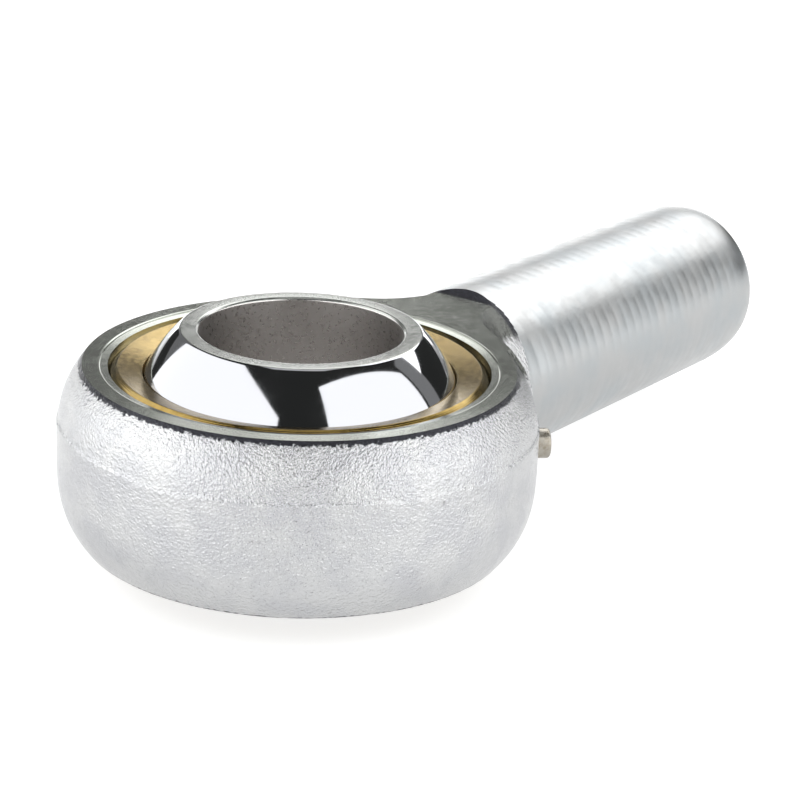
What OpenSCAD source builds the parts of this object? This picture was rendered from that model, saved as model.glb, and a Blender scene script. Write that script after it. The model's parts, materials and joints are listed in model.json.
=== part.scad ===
// Male rod end with an integral spherical plain bearing, size 25, dimension series K.
// Frame: origin at the ball's centre, +Z along the ball's bore, +X along the threaded shank.

/* [Bearing] */
// Bore of the ball
bore_d = 25; // [22:0.5:26]
// Width of the ball over its two side faces
ball_w = 31; // [29:0.5:32]
// Diameter of the ball's sphere
ball_d = 42.862; // [42.4:0.1:43.2]
// Radial running clearance between the ball and the outer ring
running_clearance = 0.1; // [0.08:0.01:0.12]
// Outside diameter of the outer ring
outer_ring_d = 46.2; // [46:0.1:46.8]
// Width of the outer ring at its rim
outer_ring_w = 21.4; // [21:0.1:21.8]
// Width of the outer ring where the ball leaves it
race_w = 19.8; // [19:0.1:20.2]
// Chamfer on the outer ring's rim
rim_chamfer = 0.85; // [0.4:0.05:1]

/* [Eye] */
// Outside diameter of the eye over its parting band
eye_d = 59.6; // [59:0.1:62]
// Width over the machined side faces
eye_w = 22; // [22:0.5:23]
// Diameter of the side faces where the rounded edge starts
face_d = 53.3; // [52.5:0.1:55]
// Height of the trimmed parting band round the eye
band_h = 5.3; // [4:0.1:7]
// How far the parting band stands out of the rounded edge
band_step = 0.15; // [0.1:0.05:0.3]
// Radius, about the bore, at which the side faces start to rise on to the shank
face_end_r = 35.6; // [35:0.1:36]
// Length of that rise
face_rise_len = 1.2; // [0.8:0.1:1.3]
// Diameter of the chamfer round the outer ring
mouth_d = 49.1; // [48:0.1:49.5]
// Depth of that chamfer
mouth_depth = 0.35; // [0.2:0.05:1.2]

/* [Shank] */
// Outside diameter of the thread
thread_d = 24; // [23:0.5:25]
// Distance from the ball's centre to the start of the thread
thread_from = 36.9; // [36.9:0.1:40]
// Diameter of the plain length between the neck and the thread
plain_d = 23.6; // [23:0.1:23.6]
// Distance from the ball's centre to the end of the shank
centre_to_end = 94; // [94:1:110]
// Length of the rounding at the end of the shank
end_round_len = 5.3; // [3:0.1:6]
// Depth of that rounding
end_round_depth = 0.8; // [0.5:0.1:1.5]
// Angle between each side of the neck and the shank's axis
neck_angle = 48; // [45:1:48]

/* [Grease nipple] */
// Direction of the nipple round the eye, from the shank
nipple_angle = -45; // [-90:5:-45]
// Diameter of the nipple's head
nipple_head_d = 3.8; // [3.6:0.1:4.2]
// How far the nipple stands out of the parting band
nipple_out = 1.9; // [1.4:0.1:2.2]
// Diameter of the nipple's driven-in stem
nipple_stem_d = 3.3; // [3.2:0.1:3.5]
// Diameter of the check ball
check_ball_d = 1.5; // [1.4:0.05:1.55]
// Wire diameter of the check ball's spring
spring_wire_d = 0.22; // [0.18:0.01:0.24]
// Turns of the spring
spring_turns = 6; // [4:1:7]
// Diameter of the grease hole
feed_hole_d = 1.8; // [1.5:0.1:2]

/* [Hidden] */
$fn = 96;

ball_r = ball_d / 2;
race_r = ball_r + running_clearance;
ring_r = outer_ring_d / 2;
bore_chamfer = 0.3;
through = 200;                       // long enough to cut right through anything

// Edge of the eye: arcs that leave the parting band upright and meet the side faces
eye_r = eye_d / 2;
crown_top_r = eye_r - band_step;
crown_rise = eye_w / 2 - band_h / 2;
crown_drop = crown_top_r - face_d / 2;
crown_arc_r = (crown_rise ^ 2 + crown_drop ^ 2) / (2 * crown_drop);

// Neck: two straight sides with the eye's own rounding, just inside the tangents to its outline
thread_r = thread_d / 2;
neck_inset = 0.3;
neck_side_r = crown_top_r - neck_inset;
neck_tip = neck_side_r / sin(neck_angle);
neck_from = neck_side_r * sin(neck_angle);

// Grease groove inside the outer ring
groove_w = 3;
groove_depth = 0.75;

// Grease nipple, along its own axis from the ball's centre outwards
nipple_top = eye_r + nipple_out;
nipple_shoulder = eye_r - 0.8;       // underside of the head, in its spot face
nipple_inner = 24.4;                 // inner end of the stem
nipple_chamber_r = check_ball_d / 2 + 0.12;
nipple_lip = 0.3;                    // rolled-in lip that holds the spring
funnel_r = 1.25;
funnel_depth = 1.1;
seat_r = 0.5;
seat_from = nipple_top - funnel_depth;
// The check ball rests in a cone that closes from the chamber to the seat
seat_cone_len = nipple_chamber_r - seat_r;
seat_throat = 0.5;
check_ball_gap = 0.02;
check_ball_at = seat_from - seat_throat - check_ball_d / 2 * sqrt(2) + seat_r - check_ball_gap;
spring_from = nipple_inner + nipple_lip + spring_wire_d / 2 + 0.03;
spring_to = check_ball_at - check_ball_d / 2 - spring_wire_d / 2 + 0.02;
spring_r = check_ball_d / 2 - spring_wire_d / 2 - 0.05;

// Grease in the bearing: thin films on the two halves of the race
film_gap = 0.02;
film_in_r = ball_r + film_gap;
film_out_r = race_r - film_gap;
film_from = 3.2;
film_to = 9.2;

module on_shank_axis() { rotate([0, 90, 0]) children(); }

module on_nipple_axis() { rotate([0, 0, nipple_angle]) rotate([0, 90, 0]) children(); }

// A ring between two radii and two heights
module ring(r_in, r_out, from, to) {
    difference() {
        translate([0, 0, from]) cylinder(r = r_out, h = to - from);
        translate([0, 0, from - 1]) cylinder(r = r_in, h = to - from + 2);
    }
}

// Section of the eye, radius across and height up
module eye_section(inner = ring_r - 2) {
    intersection() {
        translate([inner, -eye_w / 2]) square([eye_r - inner, eye_w]);
        union() {
            for (side = [-1, 1])
                translate([crown_top_r - crown_arc_r, side * band_h / 2]) circle(r = crown_arc_r);
            translate([0, -band_h / 2]) square([eye_r, band_h]);
        }
    }
}

// One side of the neck: the section of the eye drawn out straight, without its parting band
module neck_side(side) {
    rotate([0, 0, side * (90 - neck_angle)]) rotate([90, 0, 0])
        linear_extrude(height = 2 * eye_d, center = true)
            intersection() {
                translate([-neck_inset, 0]) eye_section(0);
                translate([0, -eye_w / 2]) square([neck_side_r, eye_w]);
            }
}

module neck() {
    intersection() {
        neck_side(-1);
        neck_side(1);
        translate([neck_from, -crown_top_r, -eye_w / 2])
            cube([neck_tip - neck_from, 2 * crown_top_r, eye_w]);
    }
}

// Section of the shank, radius across and distance along it up. The end is a quarter of an ellipse
module shank_section() {
    steps = 8;
    polygon(concat(
        [[0, neck_from], [plain_d / 2, neck_from], [plain_d / 2, thread_from], [thread_r, thread_from]],
        [for (i = [0 : steps]) let (a = 90 * i / steps)
            [thread_r - end_round_depth * (1 - cos(a)), centre_to_end - end_round_len * (1 - sin(a))]],
        [[0, centre_to_end]]));
}

module rod_end_body() {
    color([0.77, 0.78, 0.79])
    difference() {
        union() {
            rotate_extrude() eye_section();
            on_shank_axis() rotate_extrude() shank_section();
            neck();
        }
        // the side faces are turned flat, with a shallow rise on to the shank
        for (side = [0, 1]) mirror([0, 0, side])
            rotate_extrude() polygon([
                [0, eye_w / 2], [face_end_r, eye_w / 2],
                [face_end_r + face_rise_len, thread_r + 0.15], [face_end_r + face_rise_len, through],
                [0, through]]);
        cylinder(r = ring_r, h = through, center = true);
        for (side = [0, 1]) mirror([0, 0, side])
            translate([0, 0, eye_w / 2 - mouth_depth])
                cylinder(r1 = ring_r, r2 = mouth_d / 2, h = mouth_depth);
        on_nipple_axis() {
            cylinder(d = feed_hole_d, h = eye_d);
            translate([0, 0, nipple_inner]) cylinder(d = nipple_stem_d, h = eye_d);
            translate([0, 0, nipple_shoulder]) cylinder(d = nipple_head_d, h = eye_d);
        }
    }
}

module outer_ring() {
    color([0.74, 0.61, 0.30])
    difference() {
        rotate_extrude() polygon([
            [18, -race_w / 2], [ring_r - rim_chamfer, -outer_ring_w / 2],
            [ring_r, -outer_ring_w / 2 + rim_chamfer], [ring_r, outer_ring_w / 2 - rim_chamfer],
            [ring_r - rim_chamfer, outer_ring_w / 2], [18, race_w / 2]]);
        sphere(r = race_r);
        cylinder(r = race_r + groove_depth, h = groove_w, center = true);
        on_nipple_axis() cylinder(d = feed_hole_d, h = eye_d);
    }
}

module ball() {
    color([0.86, 0.87, 0.89])
    difference() {
        intersection() {
            sphere(r = ball_r);
            cube([2 * ball_d, 2 * ball_d, ball_w], center = true);
        }
        cylinder(d = bore_d, h = through, center = true);
        for (side = [0, 1]) mirror([0, 0, side])
            translate([0, 0, ball_w / 2 - bore_chamfer])
                cylinder(d1 = bore_d, d2 = bore_d + 2 * bore_chamfer, h = bore_chamfer);
    }
}

// Turned plug with a funnel mouth, a conical seat, a chamber and a rolled-in lip
module nipple_body() {
    stem_r = nipple_stem_d / 2;
    head_r = nipple_head_d / 2;
    edge = 0.35;
    seat_to = seat_from - seat_throat;
    color([0.73, 0.70, 0.62])
    on_nipple_axis() rotate_extrude() polygon([
        [nipple_chamber_r - 0.35, nipple_inner], [stem_r - 0.2, nipple_inner],
        [stem_r, nipple_inner + 0.2], [stem_r, nipple_shoulder],
        [head_r, nipple_shoulder], [head_r, nipple_top - edge],
        [head_r - 0.3 * edge, nipple_top - 0.3 * edge], [head_r - edge, nipple_top],
        [funnel_r, nipple_top], [seat_r, seat_from], [seat_r, seat_to],
        [nipple_chamber_r, seat_to - seat_cone_len],
        [nipple_chamber_r, nipple_inner + nipple_lip],
        [nipple_chamber_r - 0.35, nipple_inner + nipple_lip]]);
}

module nipple_check_ball() {
    color([0.86, 0.87, 0.89])
    on_nipple_axis() translate([0, 0, check_ball_at]) sphere(d = check_ball_d);
}

// Points of a round wire that climbs in a helix, a ring of points for each step
function helix_points(r, wire_r, from, to, turns, steps, sides) = [
    for (i = [0 : steps]) let (turn = 360 * turns * i / steps, lift = from + (to - from) * i / steps)
        for (j = [0 : sides - 1]) let (a = 360 * j / sides, out = r + wire_r * cos(a))
            [out * cos(turn), out * sin(turn), lift + wire_r * sin(a)]];

function tube_faces(steps, sides) = concat(
    [[for (j = [0 : sides - 1]) j]],
    [for (i = [0 : steps - 1]) for (j = [0 : sides - 1]) let (k = (j + 1) % sides)
        [i * sides + j, (i + 1) * sides + j, (i + 1) * sides + k, i * sides + k]],
    [[for (j = [sides - 1 : -1 : 0]) steps * sides + j]]);

module nipple_spring() {
    steps = spring_turns * 16;
    sides = 8;
    color([0.55, 0.56, 0.58])
    on_nipple_axis() polyhedron(
        helix_points(spring_r, spring_wire_d / 2, spring_from, spring_to, spring_turns, steps, sides),
        tube_faces(steps, sides));
}

// Grease that stays in the outer ring's groove and in the hole that feeds it
module grease_charge() {
    slack = 0.03;
    color([0.80, 0.62, 0.28])
    union() {
        ring(race_r + slack, race_r + groove_depth - slack,
             -groove_w / 2 + slack, groove_w / 2 - slack);
        on_nipple_axis() translate([0, 0, race_r + groove_depth / 2])
            cylinder(d = feed_hole_d - 2 * slack, h = nipple_inner - race_r - groove_depth / 2 - slack);
    }
}

// Film between the ball and one half of the race
module grease_film(side) {
    color([0.80, 0.62, 0.28])
    intersection() {
        difference() {
            sphere(r = film_out_r);
            sphere(r = film_in_r);
        }
        mirror([0, 0, side]) ring(10, ball_d, film_from, film_to);
    }
}

module grease_film_upper() { grease_film(0); }
module grease_film_lower() { grease_film(1); }

rod_end_body();
outer_ring();
ball();
nipple_body();
nipple_check_ball();
nipple_spring();
grease_charge();
grease_film_upper();
grease_film_lower();
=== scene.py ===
import json
import math

import bmesh
import bpy
import numpy as np
from mathutils import Matrix, Vector, noise


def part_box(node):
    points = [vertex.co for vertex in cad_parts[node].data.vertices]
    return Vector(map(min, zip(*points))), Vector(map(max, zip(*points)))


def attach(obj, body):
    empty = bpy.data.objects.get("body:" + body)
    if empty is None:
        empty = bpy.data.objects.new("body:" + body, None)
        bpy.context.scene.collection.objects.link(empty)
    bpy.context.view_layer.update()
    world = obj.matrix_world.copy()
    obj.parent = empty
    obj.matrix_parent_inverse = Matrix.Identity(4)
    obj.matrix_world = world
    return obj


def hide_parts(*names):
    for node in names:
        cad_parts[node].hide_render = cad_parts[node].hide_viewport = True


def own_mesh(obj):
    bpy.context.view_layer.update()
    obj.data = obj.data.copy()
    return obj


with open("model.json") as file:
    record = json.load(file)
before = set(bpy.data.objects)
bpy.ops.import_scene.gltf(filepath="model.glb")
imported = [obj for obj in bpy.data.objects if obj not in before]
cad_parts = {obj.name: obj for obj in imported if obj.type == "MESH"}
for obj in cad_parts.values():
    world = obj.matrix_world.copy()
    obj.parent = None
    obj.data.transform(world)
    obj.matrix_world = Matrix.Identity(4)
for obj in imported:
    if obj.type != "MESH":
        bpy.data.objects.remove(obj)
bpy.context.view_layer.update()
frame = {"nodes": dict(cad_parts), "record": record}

# Looks of a male rod end bearing. Lengths here are in millimetres and become metres in the meshes.
# The ball's centre is the origin, +Z is the axis of its bore and +X runs along the threaded shank.
MM = 0.001
TURN = 2 * math.pi

mounts = {mount["name"]: mount for mount in frame["record"]["mounts"]}


def box_mm(node):
    low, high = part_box(node)
    return low / MM, high / MM


# Sizes that the frame gives
BODY_LOW, BODY_HIGH = box_mm("rod_end_body")
_, BALL_HIGH = box_mm("ball")
_, RING_HIGH = box_mm("outer_ring")
EYE_R = -BODY_LOW.x
SHANK_END = BODY_HIGH.x
SHANK_R = mounts["thread_shank"]["dims"]["r_mm"]
BORE_R = mounts["bore"]["dims"]["r_mm"]
BALL_R = BALL_HIGH.x
LAND_Z = BALL_HIGH.z
RING_R = RING_HIGH.x
RING_TOP = RING_HIGH.z
NIPPLE_WAY = Vector(mounts["grease_port"]["axis"]).normalized()
NIPPLE_TOP = Vector(mounts["grease_port"]["pos_m"]).length / MM

# Sizes of the looks
FACE_Z = RING_TOP + 0.3               # turned side faces of the eye
FACE_END_R = 35.6                     # the side faces start to rise on to the shank at this radius
FACE_RISE = 1.2                       # length of that rise
THREAD_FROM = 36.9                    # a plain length of shank, slightly thinner, comes before the thread
PLAIN_R = 11.94
RELIEF_DEPTH = 0.015                  # the thread is only a fine helical relief
NECK_END_R = 36.2                     # the neck ends on the shank at this radius about the bore
MOUTH_R = RING_R + 1.5                # the shallow recess round the outer ring
THREAD_PITCH = 2
ROUNDED_LEN = 5.3                     # rounding at the end of the shank
ROUNDED_DEPTH = 0.8
CROWN_TOP = 29.65                     # the forged skin under the parting band
CROWN_DROP = 3.05                     # how much smaller the eye is at its side faces
CROWN_SLOPE = 0.87                    # how steeply it narrows there
UPRIGHT = 0.5                         # the rim stands upright up to this height
BAND_STEP = 0.03                      # how far the parting band stands out
NECK_ANGLE = math.radians(50)         # between each side of the neck and the shank
NECK_FROM = CROWN_TOP * math.sin(NECK_ANGLE)
STUB_R = SHANK_R - 0.2                # the forged neck runs on inside the shank as a thin stub
STUB_END = 41
END_ROWS = np.array([0.08, 0.04, 0.015, 0.004, 0])   # last rows of points, as shares of the rounding
DIE_MARK = (-4.8, -29.2, 0.8)         # where the die has left a patch of small dents
BAND_LOW = -1.4                       # heights between which the parting band runs
BAND_HIGH = 4.2
RACE_R = BALL_R + 0.1
GROOVE_R = RACE_R + 0.75
LIP_Z = 9.85                          # height at which the race ends
FEED_HOLE_R = 0.9
STEM_R = 1.65                         # the nipple's driven-in stem
STEM_FROM = 24.4
HEAD_R = 1.9
HEAD_SUNK = 0.8                       # depth of the spot face under the nipple's head
CHAMBER_R = 0.87                      # the room for the nipple's check ball and spring
NET_STEP = 0.36                       # mesh size of the forged skin
ROUND_STEPS = 256                     # points round the large turned pieces
SMALL_STEPS = 48                      # points round the small holes


# ---------------------------------------------------------------- meshes

def arc(centre, radius, start, end, steps):
    """Points on an arc about centre, from one angle to another, in degrees."""
    points = []
    for i in range(steps + 1):
        angle = math.radians(start + (end - start) * i / steps)
        points.append((centre[0] + radius * math.cos(angle), centre[1] + radius * math.sin(angle)))
    return points


def eased(start, corner, end, steps):
    """A curve from start to end that rounds the corner between them."""
    points = []
    for i in range(steps + 1):
        part = i / steps
        first = Vector(start).lerp(Vector(corner), part)
        points.append(tuple(first.lerp(Vector(corner).lerp(Vector(end), part), part)))
    return points


def softened(corners, steps=3):
    """An outline whose corners (across, up, radius) are rounded to their radius."""
    outline = []
    for i, (x, y, radius) in enumerate(corners):
        here = Vector((x, y))
        if radius == 0:
            outline.append((x, y))
            continue
        before = Vector(corners[i - 1][:2]) - here
        after = Vector(corners[(i + 1) % len(corners)][:2]) - here
        half = before.angle(after) / 2
        reach = min(radius / math.tan(half), 0.49 * before.length, 0.49 * after.length)
        radius = reach * math.tan(half)
        centre = here + (before.normalized() + after.normalized()).normalized() * radius / math.sin(half)
        start = here + before.normalized() * reach - centre
        end = here + after.normalized() * reach - centre
        for k in range(steps + 1):
            way = start.lerp(end, k / steps).normalized()
            outline.append(tuple(centre + way * radius))
    return outline


def mesh_object(name, points, faces):
    """A mesh object from points in millimetres."""
    mesh = bpy.data.meshes.new(name)
    mesh.from_pydata([tuple(p) for p in np.asarray(points, float) * MM], [], faces)
    mesh.validate()
    piece = bpy.data.objects.new(name, mesh)
    bpy.context.scene.collection.objects.link(piece)
    return piece


def turned_faces(rings, steps):
    """Quads between rings of points, ring after ring and round to the first."""
    faces = []
    for i in range(rings):
        j = (i + 1) % rings
        for k in range(steps):
            m = (k + 1) % steps
            faces.append((i * steps + k, i * steps + m, j * steps + m, j * steps + k))
    return faces


def lathe(name, outline, steps, axis=Vector((0, 0, 1))):
    """A closed outline of (radius, height), turned about an axis through the origin."""
    outline = np.array(outline, float)
    nxt = np.roll(outline, -1, axis=0)
    area = (outline[:, 0] * nxt[:, 1] - nxt[:, 0] * outline[:, 1]).sum()
    if area < 0:
        outline = outline[::-1]
    angle = np.arange(steps) * TURN / steps
    radius = np.repeat(outline[:, 0], steps)
    height = np.repeat(outline[:, 1], steps)
    angle = np.tile(angle, len(outline))
    points = np.stack([radius * np.cos(angle), radius * np.sin(angle), height], 1)
    piece = mesh_object(name, points, turned_faces(len(outline), steps))
    weld(piece)
    turn = Vector((0, 0, 1)).rotation_difference(axis).to_matrix().to_4x4()
    piece.data.transform(turn)
    return piece


def weld(piece):
    """Merges the points that lie on the axis and drops the faces that vanish there."""
    made = bmesh.new()
    made.from_mesh(piece.data)
    bmesh.ops.remove_doubles(made, verts=made.verts, dist=1e-7)
    bmesh.ops.dissolve_degenerate(made, edges=made.edges, dist=1e-8)
    loose = [edge for edge in made.edges if not edge.link_faces]
    bmesh.ops.delete(made, geom=loose, context="EDGES")
    made.to_mesh(piece.data)
    made.free()


def combined(piece, others, operation):
    """The exact union or difference of closed meshes, in the first one."""
    for other in others:
        step = piece.modifiers.new(operation, "BOOLEAN")
        step.operation = operation
        step.solver = "MANIFOLD"
        step.object = other
    bpy.context.view_layer.update()
    ready = piece.evaluated_get(bpy.context.evaluated_depsgraph_get())
    mesh = bpy.data.meshes.new_from_object(ready)
    piece.modifiers.clear()
    piece.data = mesh
    for other in others:
        bpy.data.objects.remove(other)
    return piece


def shade(piece, degrees=30):
    """Smooth shading with crisp edges at sharp corners and where two finishes meet."""
    mesh = piece.data
    mesh.shade_smooth()
    mesh.set_sharp_from_angle(angle=math.radians(degrees))
    finish = np.zeros(len(mesh.polygons), np.int32)
    corners = np.zeros(len(mesh.polygons), np.int32)
    mesh.polygons.foreach_get("material_index", finish)
    mesh.polygons.foreach_get("loop_total", corners)
    edge = np.zeros(len(mesh.loops), np.int32)
    mesh.loops.foreach_get("edge_index", edge)
    finish = np.repeat(finish, corners)
    least = np.full(len(mesh.edges), 99)
    most = np.full(len(mesh.edges), -1)
    np.minimum.at(least, edge, finish)
    np.maximum.at(most, edge, finish)
    crisp = np.zeros(len(mesh.edges), bool)
    mesh.edges.foreach_get("use_edge_sharp", crisp)
    mesh.edges.foreach_set("use_edge_sharp", crisp | (least != most))
    mesh.update()


def paint(piece, materials, chosen):
    """Gives each face the material that chosen returns for the faces' centres and normals."""
    mesh = piece.data
    mesh.materials.clear()
    for material in materials:
        mesh.materials.append(material)
    centres = np.zeros(len(mesh.polygons) * 3)
    normals = np.zeros(len(mesh.polygons) * 3)
    mesh.polygons.foreach_get("center", centres)
    mesh.polygons.foreach_get("normal", normals)
    index = chosen(centres.reshape(-1, 3) / MM, normals.reshape(-1, 3))
    mesh.polygons.foreach_set("material_index", index.astype(np.int32))
    mesh.update()


def surface_net(field, low, high, step):
    """A quad mesh of the surface on which field is zero: one point in each cell that it crosses."""
    axes = [np.arange(low[i], high[i] + step, step) for i in range(3)]
    nodes = np.stack(np.meshgrid(*axes, indexing="ij"), -1)
    shape = nodes.shape[:3]
    value = field(nodes.reshape(-1, 3)).reshape(shape)
    count = np.zeros(value.size)
    total = np.zeros((value.size, 3))
    quads = []
    for axis in range(3):
        near = np.take(value, range(shape[axis] - 1), axis)
        far = np.take(value, range(1, shape[axis]), axis)
        crossed = (near < 0) != (far < 0)
        edge = np.argwhere(crossed)
        part = near[crossed] / (near[crossed] - far[crossed])
        point = np.array(low) + step * edge
        point[:, axis] += step * part
        u, v = (axis + 1) % 3, (axis + 2) % 3
        around = []
        for du, dv in ((0, 0), (-1, 0), (-1, -1), (0, -1)):
            cell = edge.copy()
            cell[:, u] += du
            cell[:, v] += dv
            flat = np.ravel_multi_index(cell.T, shape)
            count += np.bincount(flat, minlength=value.size)
            for k in range(3):
                total[:, k] += np.bincount(flat, point[:, k], value.size)
            around.append(flat)
        quad = np.stack(around, 1)
        inward = near[crossed] >= 0
        quad[inward] = quad[inward][:, ::-1]
        quads.append(quad)
    used = np.flatnonzero(count)
    number = np.full(value.size, -1)
    number[used] = np.arange(len(used))
    points = total[used] / count[used, None]
    return points, number[np.concatenate(quads)]


def slope(field, points, reach=0.02):
    """Gradient of a field at points."""
    sides = []
    for k in range(3):
        shift = np.zeros(3)
        shift[k] = reach
        sides.append((field(points + shift) - field(points - shift)) / (2 * reach))
    return np.stack(sides, 1)


def settled(field, points, rounds=3):
    """Points moved on to the surface on which field is zero."""
    for _ in range(rounds):
        way = slope(field, points)
        size = np.maximum((way ** 2).sum(1), 0.2)
        points = points - way * (field(points) / size)[:, None]
    return points


def smooth_step(value, start, end):
    """Eased rise from 0 at start to 1 at end."""
    part = np.clip((value - start) / (end - start), 0, 1)
    return part * part * (3 - 2 * part)


def blended(a, b, width):
    """Union of two fields with a fillet of about that width."""
    part = np.clip(0.5 + 0.5 * (b - a) / width, 0, 1)
    return b + (a - b) * part - width * part * (1 - part)


def rough(points, size, seed):
    """Noise from -1 to 1 with features of about that size, in millimetres."""
    scaled = points / size + seed
    return np.array([noise.noise(Vector(p)) for p in scaled])


# ---------------------------------------------------------------- forged body

def rounded_rim(outline, z):
    """An outline, given as the distance from the eye's middle, that rounds off towards the side faces."""
    rise = np.maximum(np.abs(z) - UPRIGHT, 0) / (FACE_Z - UPRIGHT)
    return (outline - CROWN_TOP + CROWN_DROP * rise ** 3) / np.hypot(1, CROWN_SLOPE * rise ** 2)


def crown_field(points):
    """The eye's rounded rim."""
    x, y, z = points.T
    return rounded_rim(np.hypot(x, y), z)


def neck_reach(x, y):
    """Distance from the eye's middle, square to the nearer side of the neck."""
    return np.abs(y) * math.cos(NECK_ANGLE) + x * math.sin(NECK_ANGLE)


def neck_field(points):
    """Two straight sides at a tangent to the eye, with its own rounding, and the stub beyond them."""
    x, y, z = points.T
    neck = rounded_rim(neck_reach(x, y), z)
    neck = np.maximum(neck, np.maximum(NECK_FROM - x, np.abs(z) - FACE_Z - 0.1))
    stub = np.maximum(np.hypot(y, z) - STUB_R, np.maximum(20 - x, x - STUB_END))
    return blended(neck, stub, 2.5)


def band_field(points):
    """The trimmed parting line that runs round the eye and the neck."""
    x, y, z = points.T
    top = CROWN_TOP + BAND_STEP * (1 - smooth_step(x, 22, 31))
    eye = np.hypot(x, y) - top
    neck = neck_reach(x, y) - top
    outline = np.minimum(eye, np.maximum(neck, NECK_FROM - x))
    angle = np.arctan2(y, x)
    waver = 0.16 * np.sin(5 * angle + 1) + 0.06 * np.sin(13 * angle)
    upper = z - (BAND_HIGH + waver)
    lower = (BAND_LOW - 0.7 * waver) - z
    return np.maximum(np.maximum(outline, x - 31), np.maximum(upper, lower))


def blank_field(points):
    """The forged blank before turning: negative inside, in millimetres."""
    z = points[:, 2]
    width = 0.3 + 2.2 * smooth_step(np.abs(z), 1, 8)
    skin = blended(crown_field(points), neck_field(points), width)
    skin = np.minimum(skin, band_field(points))
    return np.maximum(skin, np.maximum(np.abs(z) - (SHANK_R + 0.3), points[:, 0] - STUB_END))


def forged_blank():
    """The blank as a mesh, with the waves, scale marks and grain of a forged and blasted skin."""
    low = (-EYE_R - 1, -EYE_R - 1, -SHANK_R - 1)
    high = (STUB_END + 1, EYE_R + 1, SHANK_R + 1)
    points, quads = surface_net(blank_field, low, high, NET_STEP)
    points = settled(blank_field, points)
    way = slope(blank_field, points)
    way /= np.linalg.norm(way, axis=1)[:, None]
    x, y, z = points.T
    skin = 1 - smooth_step(x, 29, 32)
    on_band = smooth_step(z, BAND_LOW - 0.4, BAND_LOW) * (1 - smooth_step(z, BAND_HIGH, BAND_HIGH + 0.4))
    waves = 0.04 * rough(points, 7, 11.5) + 0.012 * rough(points, 3.2, 5.1)
    grain = 0.012 * rough(points, 0.8, 8.9)
    marked = np.exp(-((points - np.array(DIE_MARK)) ** 2).sum(1) / 7)
    dents = 0.16 * marked * smooth_step(rough(points, 1.1, 2.7), 0.05, 0.4)
    lift = skin * (waves * (1 - 0.6 * on_band) + grain * (1 - 0.55 * on_band) - dents - 0.02)
    points = points + way * lift[:, None]
    plan = np.hypot(points[:, 0], points[:, 1])
    inside = np.where((points[:, 0] < NECK_FROM) & (plan > EYE_R), EYE_R / plan, 1)
    points[:, :2] *= inside[:, None]
    return mesh_object("blank", points, quads.tolist())


def threaded_shank():
    """The shank with the fine helical relief of its thread and its rounded end."""
    steps = 128
    start = 29
    rows = np.append(np.arange(start, SHANK_END - 0.6, 0.2), SHANK_END - ROUNDED_LEN * END_ROWS)
    angle = np.arange(steps) * TURN / steps
    points = [(start, 0, 0)]
    for x in rows:
        inward = max(x - (SHANK_END - ROUNDED_LEN), 0) / ROUNDED_LEN
        radius = SHANK_R - ROUNDED_DEPTH * (1 - math.sqrt(max(1 - inward ** 2, 0)))
        radius -= (SHANK_R - PLAIN_R) * (1 - smooth_step(x, THREAD_FROM, THREAD_FROM + 2.5))
        depth = RELIEF_DEPTH * smooth_step(x, 34, 35) * (1 - smooth_step(x, SHANK_END - 7, SHANK_END - 2.5))
        place = x / THREAD_PITCH - angle / TURN
        away = np.abs(place - np.round(place)) * THREAD_PITCH
        r = radius - depth * np.exp(-((away / 0.42) ** 2))
        for k in range(steps):
            points.append((x, r[k] * math.cos(angle[k]), r[k] * math.sin(angle[k])))
    points.append((SHANK_END, 0, 0))
    faces = []
    for i in range(len(rows) - 1):
        for k in range(steps):
            m = (k + 1) % steps
            a = 1 + i * steps
            b = a + steps
            faces.append((a + k, a + m, b + m, b + k))
    last = 1 + (len(rows) - 1) * steps
    for k in range(steps):
        m = (k + 1) % steps
        faces.append((0, 1 + m, 1 + k))
        faces.append((last + steps, last + k, last + m))
    return mesh_object("shank", points, faces)


def face_cutter(side):
    """What turning takes off one side of the forging."""
    far = side * 40
    rise_end = FACE_END_R + FACE_RISE
    corners = [(0, side * FACE_Z, 0), (FACE_END_R, side * FACE_Z, 0.8),
               (rise_end, side * (SHANK_R + 0.15), 0), (rise_end, far, 0), (0, far, 0)]
    return lathe("face_cutter", softened(corners), ROUND_STEPS)


def bore_cutter():
    """The seat of the outer ring and the shallow recess turned round it on both faces."""
    inner = RING_R + 0.3
    up = [(RING_R, FACE_Z - 1.4), (inner, FACE_Z - 0.75), (inner + 0.05, FACE_Z - 0.3)]
    up += eased((MOUTH_R - 0.25, FACE_Z - 0.18), (MOUTH_R - 0.2, FACE_Z), (MOUTH_R + 0.05, FACE_Z + 0.001), 4)
    up += [(MOUTH_R + 0.06, FACE_Z + 3)]
    down = [(r, -z) for r, z in up[::-1]]
    return lathe("bore_cutter", down + up + [(0, FACE_Z + 3), (0, -FACE_Z - 3)], ROUND_STEPS)


def nipple_cutter():
    """The grease hole, the nipple's seat and the spot face round its head."""
    seat = EYE_R - HEAD_SUNK
    loose = HEAD_R + 0.03
    corners = [(0, 18), (FEED_HOLE_R, 18), (FEED_HOLE_R, STEM_FROM), (STEM_R, STEM_FROM), (STEM_R, seat),
               (loose, seat), (loose, 40), (0, 40)]
    return lathe("nipple_cutter", corners, SMALL_STEPS, NIPPLE_WAY)


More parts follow.
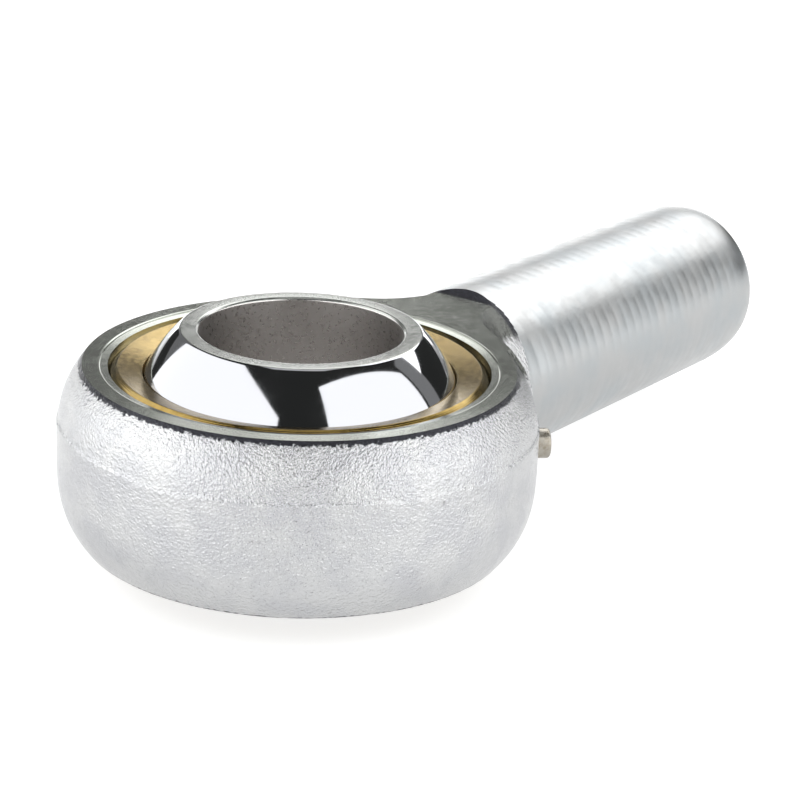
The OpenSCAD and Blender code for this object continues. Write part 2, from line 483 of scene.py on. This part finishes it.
def rod_end_body(materials):
    """The forging with its shank, turned on both sides, bored and drilled."""
    body = combined(forged_blank(), [threaded_shank()], "UNION")
    body = combined(body, [face_cutter(1), face_cutter(-1), bore_cutter(), nipple_cutter()], "DIFFERENCE")
    body.name = "rod_end_body_forged"

    def chosen(centres, normals):
        x, y, z = centres.T
        plan = np.hypot(x, y)
        across = np.hypot(y, z)
        index = np.zeros(len(x))
        rising = (normals[:, :2] * centres[:, :2]).sum(1) < -0.3 * plan
        index[(x > 29) & (plan > NECK_END_R) & (across < SHANK_R + 0.02) & ~rising] = 1
        high = np.abs(z)
        index[(plan < MOUTH_R + 0.06) & (high < FACE_Z + 0.01)] = 3
        index[(np.abs(high - FACE_Z) < 0.005) & (np.abs(normals[:, 2]) > 0.9999)] = 2
        return index

    paint(body, materials, chosen)
    shade(body, 24)
    return body


# ---------------------------------------------------------------- turned pieces

def ball_piece(materials):
    """The ball: a polished sphere between two ground lands, with a ground bore."""
    land_r = math.sqrt(BALL_R ** 2 - LAND_Z ** 2)
    edge = math.degrees(math.asin(LAND_Z / BALL_R))
    chamfer = 0.3
    sphere = arc((0, 0), BALL_R, 0, edge - 1.5, 48) + arc((0, 0), BALL_R, edge - 0.9, edge - 0.6, 2)
    half = sphere + eased(sphere[-1], (land_r, LAND_Z), (land_r - 0.2, LAND_Z), 5)[1:]
    half += [(land_r - 0.25, LAND_Z), (land_r - 0.4, LAND_Z)]
    chamfer_top = (BORE_R + chamfer, LAND_Z)
    half += eased((BORE_R + chamfer + 0.1, LAND_Z), chamfer_top, (BORE_R + chamfer - 0.07, LAND_Z - 0.07), 3)
    chamfer_low = (BORE_R, LAND_Z - chamfer)
    half += eased((BORE_R + 0.07, LAND_Z - chamfer + 0.07), chamfer_low, (BORE_R, LAND_Z - chamfer - 0.1), 3)
    half += [(BORE_R, LAND_Z - chamfer - 0.2)]
    ball = lathe("ball_polished", half + [(r, -z) for r, z in half[:0:-1]], ROUND_STEPS)

    def chosen(centres, normals):
        plan = np.hypot(centres[:, 0], centres[:, 1])
        index = np.zeros(len(plan))
        high = np.abs(centres[:, 2])
        index[(high > LAND_Z - 0.04) & (plan < land_r)] = 1
        index[plan < BORE_R + chamfer + 0.06] = 1
        index[(plan < BORE_R + 0.03) & (high < LAND_Z - chamfer)] = 2
        return index

    paint(ball, materials, chosen)
    shade(ball, 30)
    return ball


def outer_ring_piece(materials):
    """The bronze ring: a spherical race with a grease groove, and chamfered rims."""
    lip_r = math.sqrt(RACE_R ** 2 - LIP_Z ** 2)
    groove_half = 1.5
    rim_chamfer = 0.85
    race_start = math.degrees(math.asin(groove_half / RACE_R))
    race_end = math.degrees(math.asin(LIP_Z / RACE_R)) - 0.4
    half = [(GROOVE_R, 0), (GROOVE_R, groove_half)] + arc((0, 0), RACE_R, race_start, race_end, 20)
    rim = softened([(lip_r + 0.12, LIP_Z + 0.06, 0), (RING_R - rim_chamfer, RING_TOP, 0.12),
                    (RING_R, RING_TOP - rim_chamfer, 0.12), (RING_R, 0, 0)])
    half += rim[:-1]
    outline = half + [(r, -z) for r, z in half[:0:-1]]
    ring = lathe("outer_ring_bronze", outline, ROUND_STEPS)
    drill = [(0, 15), (FEED_HOLE_R, 15), (FEED_HOLE_R, 30), (0, 30)]
    hole = lathe("feed_hole", drill, SMALL_STEPS, NIPPLE_WAY)
    ring = combined(ring, [hole], "DIFFERENCE")

    def chosen(centres, normals):
        plan = np.hypot(centres[:, 0], centres[:, 1])
        index = np.zeros(len(plan))
        index[(np.abs(centres[:, 2]) < LIP_Z + 0.02) & (plan < RING_R - 0.02)] = 1
        return index

    paint(ring, materials, chosen)
    shade(ring, 30)
    return ring


def nipple_piece(materials):
    """The flush grease nipple: a small turned plug with a funnel mouth, a seat and a chamber."""
    shoulder = EYE_R - HEAD_SUNK
    lip_r = CHAMBER_R - 0.35
    lip_top = STEM_FROM + 0.3
    funnel_r = 1.25
    throat_r = 0.5
    corners = [(lip_r, STEM_FROM, 0), (STEM_R - 0.2, STEM_FROM, 0), (STEM_R, STEM_FROM + 0.2, 0),
               (STEM_R, shoulder, 0), (HEAD_R, shoulder, 0.05), (HEAD_R, NIPPLE_TOP, 0.32),
               (funnel_r, NIPPLE_TOP, 0.1), (throat_r, NIPPLE_TOP - 1.1, 0), (throat_r, NIPPLE_TOP - 1.6, 0),
               (CHAMBER_R, NIPPLE_TOP - 1.97, 0), (CHAMBER_R, lip_top, 0), (lip_r, lip_top, 0)]
    nipple = lathe("nipple_plug", softened(corners, 5), 64, NIPPLE_WAY)
    paint(nipple, materials, lambda centres, normals: np.zeros(len(centres)))
    shade(nipple, 30)
    return nipple


# ---------------------------------------------------------------- materials

def add(tree, kind, **settings):
    """A new node. Names with capitals are sockets, the others are the node's own settings."""
    node = tree.nodes.new(kind)
    for key, value in settings.items():
        if key[0].isupper():
            node.inputs[key.replace("_", " ")].default_value = value
        else:
            setattr(node, key, value)
    return node


def new_material(name, metallic, roughness, colour, ior=1.5):
    """A material, its node tree, its shader and the object's own coordinates."""
    material = bpy.data.materials.new(name)
    material.use_nodes = True
    tree = material.node_tree
    surface = tree.nodes["Principled BSDF"]
    surface.inputs["Metallic"].default_value = metallic
    surface.inputs["Roughness"].default_value = roughness
    surface.inputs["Base Color"].default_value = (*colour, 1)
    surface.inputs["IOR"].default_value = ior
    place = add(tree, "ShaderNodeTexCoord").outputs["Object"]
    return material, tree, surface, place


def grain(tree, place, size, detail=3.0, roughness=0.55, distortion=0.0):
    """Noise with features of about that size, in millimetres."""
    node = add(tree, "ShaderNodeTexNoise", Scale=1 / (size * MM), Detail=detail,
               Roughness=roughness, Distortion=distortion)
    tree.links.new(place, node.inputs["Vector"])
    return node.outputs["Fac"]


def pits(tree, place, size):
    """Distance to the nearest of many scattered points, about that far apart in millimetres."""
    node = add(tree, "ShaderNodeTexVoronoi", Scale=1 / (size * MM))
    tree.links.new(place, node.inputs["Vector"])
    return node.outputs["Distance"]


def span(tree, value, low, high, to_low=0.0, to_high=1.0):
    """Maps low..high on to another range, clamped and eased."""
    node = add(tree, "ShaderNodeMapRange", interpolation_type="SMOOTHSTEP",
               From_Min=low, From_Max=high, To_Min=to_low, To_Max=to_high)
    tree.links.new(value, node.inputs["Value"])
    return node.outputs["Result"]


def sums(tree, operation, a, b=0):
    """Arithmetic on two values, each a socket or a number."""
    node = add(tree, "ShaderNodeMath", operation=operation)
    for socket, value in zip(node.inputs, (a, b)):
        if isinstance(value, (int, float)):
            socket.default_value = value
        else:
            tree.links.new(value, socket)
    return node.outputs[0]


def two_tone(tree, part, first, second):
    """Mixes two colours, each a socket or a plain colour."""
    node = add(tree, "ShaderNodeMix", data_type="RGBA")
    tree.links.new(part, node.inputs["Factor"])
    for socket, value in ((node.inputs[6], first), (node.inputs[7], second)):
        if isinstance(value, tuple):
            socket.default_value = (*value, 1)
        else:
            tree.links.new(value, socket)
    return node.outputs[2]


def relief(tree, surface, height, depth, normal=None):
    """Bump that stands out by that depth, in millimetres."""
    node = add(tree, "ShaderNodeBump", Strength=1.0, Distance=depth * MM)
    tree.links.new(height, node.inputs["Height"])
    if normal is not None:
        tree.links.new(normal, node.inputs["Normal"])
    tree.links.new(node.outputs["Normal"], surface.inputs["Normal"])
    return node.outputs["Normal"]


def distance_in_plan(tree, x, y):
    """Distance from the bore's axis."""
    squares = sums(tree, "ADD", sums(tree, "MULTIPLY", x, x), sums(tree, "MULTIPLY", y, y))
    return sums(tree, "SQRT", squares)


def fine_lines(tree, place, way, pitch, waver):
    """Stripes of turning or drawing: out from the bore, up its wall, or along the shank."""
    apart = add(tree, "ShaderNodeSeparateXYZ")
    tree.links.new(place, apart.inputs["Vector"])
    x, y, z = apart.outputs
    if way == "OUT":
        far = distance_in_plan(tree, x, y)
    else:
        far = {"ALONG": x, "UP": z}[way]
    drift = sums(tree, "MULTIPLY", grain(tree, place, 4, 2), waver)
    scaled = sums(tree, "ADD", sums(tree, "MULTIPLY", far, TURN / (pitch * MM)), drift)
    return sums(tree, "SINE", scaled)


def uneven_gloss(tree, surface, place, size, detail, glossy, dull, high=0.7):
    """Roughness that varies in patches of about that size, in millimetres."""
    patches = span(tree, grain(tree, place, size, detail), 0.3, high, glossy, dull)
    tree.links.new(patches, surface.inputs["Roughness"])


def forged_zinc():
    """Bright zinc over a blasted forging with fine dense grain, with painted shade on the shoulders beside
    the neck, a painted dark reflection along the ragged edges of the side faces and a painted shadow in the
    crescent where the neck ends on the shank.
    """
    material, tree, surface, place = new_material("forged_zinc", 1.0, 0.24, (0.48, 0.485, 0.49))
    clouds = span(tree, grain(tree, place, 5, 4), 0.35, 0.65)
    tone = two_tone(tree, clouds, (0.47, 0.475, 0.49), (0.52, 0.525, 0.53))
    scars = span(tree, grain(tree, place, 1.6, 3, 0.6), 0.7, 0.78)
    tone = two_tone(tree, scars, tone, (0.34, 0.34, 0.34))
    shoulder, edge = painted_shade_edges(tree, place)
    # painted shade: the shoulders beside the neck are darkened in the colour
    tone = two_tone(tree, shoulder, tone, (0.13, 0.135, 0.125))
    # painted dark reflection along the ragged edges of the side faces, and a painted shadow in the crescent
    # at the end of the neck
    tone = two_tone(tree, edge, tone, (0.035, 0.036, 0.042))
    tree.links.new(tone, surface.inputs["Base Color"])
    uneven_gloss(tree, surface, place, 0.9, 3, 0.17, 0.25)
    fine = relief(tree, surface, grain(tree, place, 0.28, 2, 0.6), 0.19)
    relief(tree, surface, pits(tree, place, 0.45), 0.07, fine)
    return material


def painted_shade_edges(tree, place):
    """Masks for painted shade on the shoulders beside the neck, and for the dark edges of the faces.

    The edges are a painted dark reflection in a ragged line round the eye and a painted shadow in a crescent
    where the neck ends on the shank.
    """
    apart = add(tree, "ShaderNodeSeparateXYZ")
    tree.links.new(place, apart.inputs["Vector"])
    along, aside, up = apart.outputs
    under = sums(tree, "SUBTRACT", sums(tree, "MULTIPLY", up, -1.0), 0.4 * MM)
    height = sums(tree, "MAXIMUM", up, under)
    edge_jitter = sums(tree, "MULTIPLY", grain(tree, place, 0.5, 4, 0.7), 1.4 * MM)
    ragged = sums(tree, "ADD", height, edge_jitter)
    # painted dark reflection: a ragged band just above each side face
    edge = span(tree, ragged, (FACE_Z + 0.1) * MM, (FACE_Z + 0.25) * MM)
    edge = sums(tree, "MULTIPLY", edge, span(tree, along, 0.010, 0.020, 1.0, 0.0))
    # painted shade: the shoulder band, reaching further down towards the neck
    higher = sums(tree, "MULTIPLY", span(tree, along, 0.009, 0.024), 4 * MM)
    shoulder = span(tree, sums(tree, "ADD", ragged, higher), (FACE_Z + 1.3) * MM, (FACE_Z + 2.2) * MM)
    plan = distance_in_plan(tree, along, aside)
    # painted shadow: a dark crescent where the side faces end on the shank
    crescent = span(tree, plan, (FACE_END_R - 0.7) * MM, (FACE_END_R + 0.1) * MM)
    crescent = sums(tree, "MULTIPLY", crescent, span(tree, height, 6.5 * MM, 9 * MM))
    return shoulder, sums(tree, "MAXIMUM", edge, crescent)


def thread_zinc():
    """The rolled shank: smoother zinc with a faint bluish cast and drawn lines."""
    material, tree, surface, place = new_material("thread_zinc", 1.0, 0.3, (0.43, 0.44, 0.45))
    cast = span(tree, grain(tree, place, 7, 3), 0.35, 0.7)
    tone = two_tone(tree, cast, (0.40, 0.405, 0.405), (0.37, 0.39, 0.40))
    tree.links.new(tone, surface.inputs["Base Color"])
    uneven_gloss(tree, surface, place, 2.2, 4, 0.3, 0.38)
    lines = relief(tree, surface, fine_lines(tree, place, "ALONG", 0.21, 3), 0.0008)
    relief(tree, surface, grain(tree, place, 0.5, 4), 0.004, lines)
    return material


def turned_steel():
    """The turned side faces: dark satin with very fine rings."""
    material, tree, surface, place = new_material("turned_steel", 1.0, 0.16, (0.42, 0.44, 0.4))
    clouds = span(tree, grain(tree, place, 6, 4), 0.35, 0.65)
    tone = two_tone(tree, clouds, (0.29, 0.305, 0.27), (0.34, 0.355, 0.32))
    tree.links.new(tone, surface.inputs["Base Color"])
    uneven_gloss(tree, surface, place, 0.7, 3, 0.1, 0.16)
    lines = relief(tree, surface, fine_lines(tree, place, "OUT", 0.14, 2), 0.0015)
    relief(tree, surface, grain(tree, place, 0.25, 3), 0.006, lines)
    return material


def mouth_steel():
    """The recess turned round the seat, a little duller than the faces."""
    material, tree, surface, place = new_material("mouth_steel", 1.0, 0.18, (0.33, 0.345, 0.31))
    uneven_gloss(tree, surface, place, 0.5, 3, 0.14, 0.2)
    relief(tree, surface, fine_lines(tree, place, "OUT", 0.12, 2), 0.0012)
    return material


def polished_chrome():
    """The ball's sphere: a mirror with the faintest hairlines."""
    material, tree, surface, place = new_material("polished_chrome", 1.0, 0.06, (0.41, 0.415, 0.435))
    uneven_gloss(tree, surface, place, 3, 5, 0.05, 0.09, 0.75)
    relief(tree, surface, grain(tree, place, 1.5, 2), 0.0006)
    return material


def ground_steel():
    """The ball's lands: satin grey with fine turned rings."""
    material, tree, surface, place = new_material("ground_steel", 1.0, 0.34, (0.38, 0.39, 0.37))
    uneven_gloss(tree, surface, place, 0.8, 3, 0.18, 0.26)
    relief(tree, surface, fine_lines(tree, place, "OUT", 0.12, 2), 0.0015)
    return material


def bore_steel():
    """The ball's bore: brownish grey, with fine rings of grinding."""
    material, tree, surface, place = new_material("bore_steel", 1.0, 0.3, (0.60, 0.58, 0.565))
    uneven_gloss(tree, surface, place, 0.5, 3, 0.26, 0.34)
    relief(tree, surface, fine_lines(tree, place, "UP", 0.18, 2), 0.002)
    return material


def turned_bronze():
    """The outer ring's rim: dull yellow bronze with darker patches and a fine grainy relief."""
    material, tree, surface, place = new_material("turned_bronze", 1.0, 0.3, (0.62, 0.46, 0.2))
    tarnish = span(tree, grain(tree, place, 1.2, 4, 0.6), 0.45, 0.75)
    tone = two_tone(tree, tarnish, (0.275, 0.195, 0.063), (0.22, 0.152, 0.05))
    tree.links.new(tone, surface.inputs["Base Color"])
    uneven_gloss(tree, surface, place, 0.8, 3, 0.14, 0.24)
    lines = relief(tree, surface, fine_lines(tree, place, "OUT", 0.16, 3), 0.003)
    relief(tree, surface, grain(tree, place, 0.5, 3), 0.012, lines)
    return material


def race_bronze():
    """The race inside the ring, darker and wet with grease."""
    material, tree, surface, place = new_material("race_bronze", 1.0, 0.3, (0.4, 0.28, 0.11))
    uneven_gloss(tree, surface, place, 1.0, 3, 0.22, 0.4)
    relief(tree, surface, grain(tree, place, 0.6, 3), 0.01)
    return material


def nipple_steel():
    """The nipple: turned steel with a faint yellow cast."""
    material, tree, surface, place = new_material("nipple_steel", 1.0, 0.3, (0.62, 0.58, 0.48))
    cast = span(tree, grain(tree, place, 0.9, 3), 0.4, 0.7)
    tone = two_tone(tree, cast, (0.34, 0.32, 0.28), (0.24, 0.21, 0.165))
    tree.links.new(tone, surface.inputs["Base Color"])
    uneven_gloss(tree, surface, place, 0.4, 3, 0.26, 0.4)
    relief(tree, surface, grain(tree, place, 0.3, 3), 0.012)
    return material


def spring_steel():
    """The nipple's spring: drawn wire."""
    material, tree, surface, place = new_material("spring_steel", 1.0, 0.3, (0.45, 0.46, 0.48))
    uneven_gloss(tree, surface, place, 0.3, 3, 0.22, 0.4)
    relief(tree, surface, grain(tree, place, 0.1, 2), 0.004)
    return material


def wet_grease():
    """Amber grease with small bubbles and streaks."""
    material, tree, surface, place = new_material("wet_grease", 0.0, 0.25, (0.55, 0.33, 0.09), 1.47)
    streaks = span(tree, grain(tree, place, 1.1, 4, 0.6, 0.8), 0.35, 0.7)
    tree.links.new(two_tone(tree, streaks, (0.6, 0.37, 0.1), (0.4, 0.2, 0.05)), surface.inputs["Base Color"])
    uneven_gloss(tree, surface, place, 0.6, 3, 0.18, 0.35)
    relief(tree, surface, grain(tree, place, 0.5, 3), 0.02)
    return material


def floor_white():
    """A white table that also glows softly, so that shadows stay faint."""
    material, _, surface, _ = new_material("floor_white", 0.0, 0.9, (0.5, 0.5, 0.5))
    surface.inputs["Specular IOR Level"].default_value = 0.0
    surface.inputs["Emission Color"].default_value = (1, 1, 1, 1)
    surface.inputs["Emission Strength"].default_value = 0.7
    return material


# ---------------------------------------------------------------- studio

def toward(azimuth, elevation=0.0):
    """Unit vector from the object: azimuth 0 is -Y, 90 is +X."""
    a = math.radians(azimuth)
    e = math.radians(elevation)
    return Vector((math.sin(a) * math.cos(e), -math.cos(a) * math.cos(e), math.sin(e)))


def panel(name, centre, across, up, width, height, brightness, colour=(1, 1, 1)):
    """A soft light panel that faces away from across x up."""
    data = bpy.data.lights.new(name, "AREA")
    data.shape = "RECTANGLE"
    data.size = width
    data.size_y = height
    data.color = colour
    data.energy = brightness * width * height * math.pi
    light = bpy.data.objects.new(name, data)
    out = across.cross(up)
    turn = Matrix((across, up, out)).transposed().to_4x4()
    light.matrix_world = Matrix.Translation(centre) @ turn
    light.visible_camera = False
    bpy.context.scene.collection.objects.link(light)
    return light


def wall_panel(name, facing, left, right, top, brightness, away=0.5, bottom=-0.0155):
    """An upright panel at a distance in one direction, between two azimuths, up to top metres."""
    out = toward(facing)
    across = toward(facing + 90)
    start = away * math.tan(math.radians(left - facing))
    end = away * math.tan(math.radians(right - facing))
    centre = out * away + across * (start + end) / 2 + Vector((0, 0, (bottom + top) / 2))
    return panel(name, centre, across, Vector((0, 0, 1)), end - start, top - bottom, brightness)


def raised_panel(name, azimuth, elevation, away, width, height, brightness):
    """A panel that faces the object from above the horizon."""
    out = toward(azimuth, elevation)
    across = toward(azimuth + 90)
    up = out.cross(across)
    return panel(name, out * away, across, up, width, height, brightness)


def studio():
    """Soft panels round the object, with dark gaps between them, and a faint grey world."""
    wall_panel("left_wall", -129, -188, -69, 0.8, 2.3)
    wall_panel("right_wall", -13, -30, 54, 0.875, 2.3)
    wall_panel("back_panel", 89, 68, 110, 1.3, 3.3, 0.8, 0.34)
    wall_panel("far_panel", 122, 110, 134, 0.9, 3.3, 0.8, 0.38)
    wall_panel("side_strip", 61, 55, 68, 0.4, 0.35)
    wall_panel("dim_wall", 136, 100, 172, 0.36, 0.22, 0.5, 0.1)
    wall_panel("low_strip", 126, 104, 150, 0.085, 2.6)
    raised_panel("top_panel", -55, 89.9, 0.8, 0.44, 0.44, 1.0)
    world = bpy.data.worlds.new("studio")
    bpy.context.scene.world = world
    world.use_nodes = True
    background = world.node_tree.nodes["Background"]
    background.inputs["Color"].default_value = (0.5, 0.52, 0.5, 1)
    background.inputs["Strength"].default_value = 0.08


def floor():
    """The plain pale floor that the ball's lower face stands on."""
    half = 3.0
    corners = [(-half, -half), (half, -half), (half, half), (-half, half)]
    points = [(x / MM, y / MM, -LAND_Z) for x, y in corners]
    ground = mesh_object("floor", points, [(0, 1, 2, 3)])
    ground.data.materials.append(floor_white())


def camera():
    """The photograph's view: long lens, from above the eye's side, slightly rolled."""
    data = bpy.data.cameras.new("camera")
    data.lens = 123.8
    data.sensor_width = 36
    data.clip_start = 0.01
    data.clip_end = 30
    back = toward(-54.87, 19.83)
    side = Vector((0, 0, 1)).cross(back).normalized()
    up = back.cross(side)
    roll = math.radians(2.38)
    across = side * math.cos(roll) + up * math.sin(roll)
    up = up * math.cos(roll) - side * math.sin(roll)
    aim = Vector((0.00878, -0.00894, 0.00611))
    distance = 0.340
    turn = Matrix((across, up, back)).transposed().to_4x4()
    view = bpy.data.objects.new("camera", data)
    view.matrix_world = Matrix.Translation(aim + back * distance) @ turn
    bpy.context.scene.collection.objects.link(view)
    bpy.context.scene.camera = view


# ---------------------------------------------------------------- the object

def dress(node, material):
    """Gives a CAD node that stays in view its material."""
    shown = frame["nodes"][node]
    shown.data.materials.clear()
    shown.data.materials.append(material)
    shown.data.shade_smooth()


def shorten_spring():
    """Gives the nipple's spring a mesh of its own."""
    spring = frame["nodes"]["nipple_spring"]
    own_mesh(spring)


camera()
studio()
floor()

body = rod_end_body([forged_zinc(), thread_zinc(), turned_steel(), mouth_steel()])
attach(body, "eye")
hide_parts("rod_end_body")

bronze_ring = outer_ring_piece([turned_bronze(), race_bronze()])
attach(bronze_ring, "eye")
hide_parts("outer_ring")

chrome = polished_chrome()
ball = ball_piece([chrome, ground_steel(), bore_steel()])
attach(ball, "ball")
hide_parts("ball")

nipple = nipple_piece([nipple_steel()])
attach(nipple, "eye")
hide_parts("nipple_body")

dress("nipple_check_ball", chrome)
dress("nipple_spring", spring_steel())
shorten_spring()
for grease_node in ("grease_charge", "grease_film_upper", "grease_film_lower"):
    dress(grease_node, wet_grease())

scene = bpy.context.scene
scene.view_settings.view_transform = "Standard"
scene.view_settings.look = "None"
